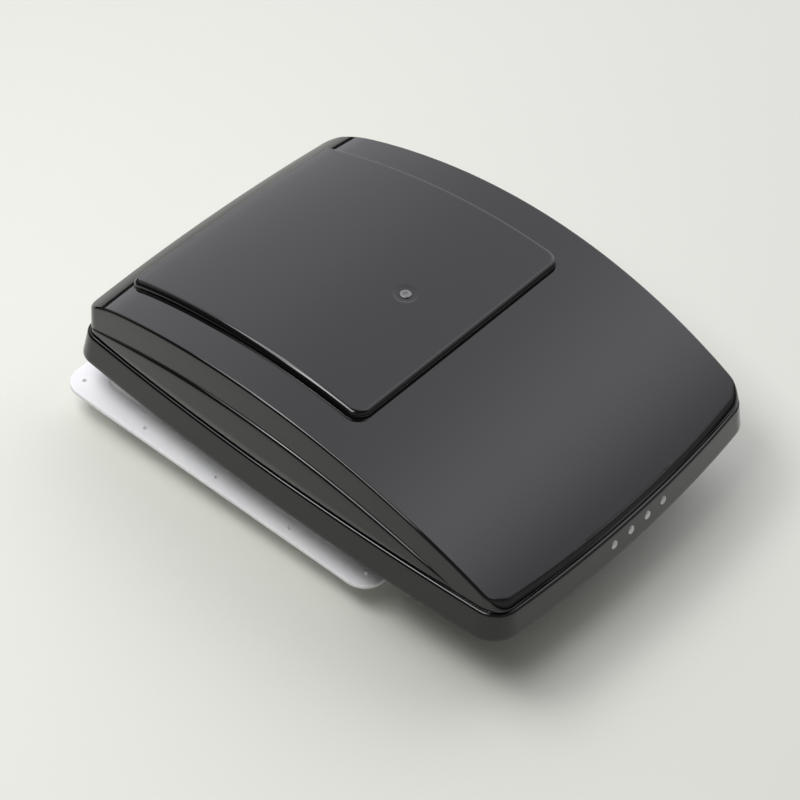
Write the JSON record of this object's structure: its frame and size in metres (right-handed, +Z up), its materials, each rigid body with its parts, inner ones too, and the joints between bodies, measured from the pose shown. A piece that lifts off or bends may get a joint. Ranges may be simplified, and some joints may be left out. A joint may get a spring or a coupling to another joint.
{
  "type": "caravan roof vent",
  "caption": "Powered caravan roof vent: white flanged base with a fan, under a black arched rain cover that tilts open from a nose hinge.",
  "frame": {"origin": "centre of the roof flange's underside, in the roof plane, where the four corner screw holes are centred", "axes": "+Z up out of the roof, -Y towards the low nose of the rain cover and its hinge, +Y towards its steep end, +X to the right seen from the nose looking back"},
  "size_m": [0.4202, 0.5756, 0.1981],
  "materials": {
    "gloss_black": "moulded ABS, high gloss black",
    "white_shell": "moulded ABS, satin white",
    "black_shell": "moulded nylon, satin black",
    "grey_shell": "moulded polypropylene, light grey",
    "fan_plastic": "moulded polypropylene, off white",
    "seal_rubber": "EPDM",
    "zinc_steel": "zinc plated steel",
    "rivet_aluminium": "aluminium",
    "motor_steel": "motor can, black coat",
    "natural_nylon": "natural nylon",
    "brass_alloy": "brass",
    "net_mesh": "woven fly screen",
    "board_green": "circuit board",
    "button_grey": "satin button"
  },
  "bodies": {
    "base": {"base_moulding": "white_shell", "lid_gasket": "seal_rubber", "hinge_bracket": "black_shell", "bracket_screws": "zinc_steel", "hinge_pin": "zinc_steel", "pin_clip": "zinc_steel", "orifice_plate": "white_shell", "plate_screws": "zinc_steel", "motor_spider": "black_shell", "spider_screws": "zinc_steel", "fan_motor": "motor_steel", "motor_screws": "zinc_steel", "gearbox_housing": "black_shell", "gearbox_cover": "black_shell", "gearbox_screws": "zinc_steel", "foot_screws": "zinc_steel", "lift_motor": "motor_steel", "bearing_left": "natural_nylon", "bearing_right": "natural_nylon", "bearing_screws": "zinc_steel", "screen_frame": "white_shell", "insect_screen": "net_mesh", "control_panel": "grey_shell", "panel_screws": "zinc_steel", "circuit_board": "board_green"},
    "cover": {"rain_cover": "gloss_black", "centre_screw": "zinc_steel", "hinge_leaf": "zinc_steel", "nose_rivets": "rivet_aluminium", "inner_lid": "white_shell", "lid_screws": "zinc_steel", "track_left": "natural_nylon", "track_right": "natural_nylon", "track_screws": "zinc_steel"},
    "lift": {"lift_shaft": "zinc_steel", "worm_wheel": "brass_alloy", "lift_arm_left": "zinc_steel", "lift_arm_right": "zinc_steel", "glide_left": "natural_nylon", "glide_right": "natural_nylon", "roll_pins": "zinc_steel"},
    "worm": {"worm": "zinc_steel"},
    "fan": {"impeller": "fan_plastic", "motor_shaft": "zinc_steel", "impeller_nut": "brass_alloy"},
    "knob_1": {"screen_knob_1": "grey_shell"},
    "knob_2": {"screen_knob_2": "grey_shell"},
    "knob_3": {"screen_knob_3": "grey_shell"},
    "knob_4": {"screen_knob_4": "grey_shell"},
    "button_1": {"push_button_1": "button_grey"},
    "button_2": {"push_button_2": "button_grey"},
    "button_3": {"push_button_3": "button_grey"},
    "button_4": {"push_button_4": "button_grey"},
    "button_5": {"push_button_5": "button_grey"}
  },
  "joints": [
    {"name": "cover_lift", "type": "hinge", "parent": "base", "child": "cover", "pos_m": [0, -0.35, 0.058], "axis": [1, 0, 0], "range_deg": [0, 12.5]},
    {"name": "lift_turn", "type": "hinge", "parent": "base", "child": "lift", "pos_m": [0, -0.148, 0.068], "axis": [1, 0, 0], "range_deg": [0, 24]},
    {"name": "worm_turn", "type": "hinge", "parent": "base", "child": "worm", "pos_m": [0.125, -0.12672, 0.068], "axis": [0, 0, 1], "range_deg": [-720, 0]},
    {"name": "fan_spin", "type": "hinge", "parent": "base", "child": "fan", "pos_m": [0, 0, 0.035], "axis": [0, 0, 1], "continuous": true},
    {"name": "knob_turn_1", "type": "hinge", "parent": "base", "child": "knob_1", "pos_m": [-0.15, -0.121, -0.026], "axis": [0, 0, 1], "range_deg": [0, 90]},
    {"name": "knob_turn_2", "type": "hinge", "parent": "base", "child": "knob_2", "pos_m": [0.15, -0.121, -0.026], "axis": [0, 0, 1], "range_deg": [0, 90]},
    {"name": "knob_turn_3", "type": "hinge", "parent": "base", "child": "knob_3", "pos_m": [-0.15, 0.15, -0.026], "axis": [0, 0, 1], "range_deg": [0, 90]},
    {"name": "knob_turn_4", "type": "hinge", "parent": "base", "child": "knob_4", "pos_m": [0.15, 0.15, -0.026], "axis": [0, 0, 1], "range_deg": [0, 90]},
    {"name": "button_press_1", "type": "slide", "parent": "base", "child": "button_1", "axis": [0, 0, 1], "range_m": [0, 0.0008], "stiffness_N_per_m": 400},
    {"name": "button_press_2", "type": "slide", "parent": "base", "child": "button_2", "axis": [0, 0, 1], "range_m": [0, 0.0008], "stiffness_N_per_m": 400},
    {"name": "button_press_3", "type": "slide", "parent": "base", "child": "button_3", "axis": [0, 0, 1], "range_m": [0, 0.0008], "stiffness_N_per_m": 400},
    {"name": "button_press_4", "type": "slide", "parent": "base", "child": "button_4", "axis": [0, 0, 1], "range_m": [0, 0.0008], "stiffness_N_per_m": 400},
    {"name": "button_press_5", "type": "slide", "parent": "base", "child": "button_5", "axis": [0, 0, 1], "range_m": [0, 0.0008], "stiffness_N_per_m": 400}
  ],
  "couplings": [
    {"joint": "lift_turn", "follows": "cover_lift", "ratio": 1.92},
    {"joint": "worm_turn", "follows": "cover_lift", "ratio": -57.6}
  ]
}
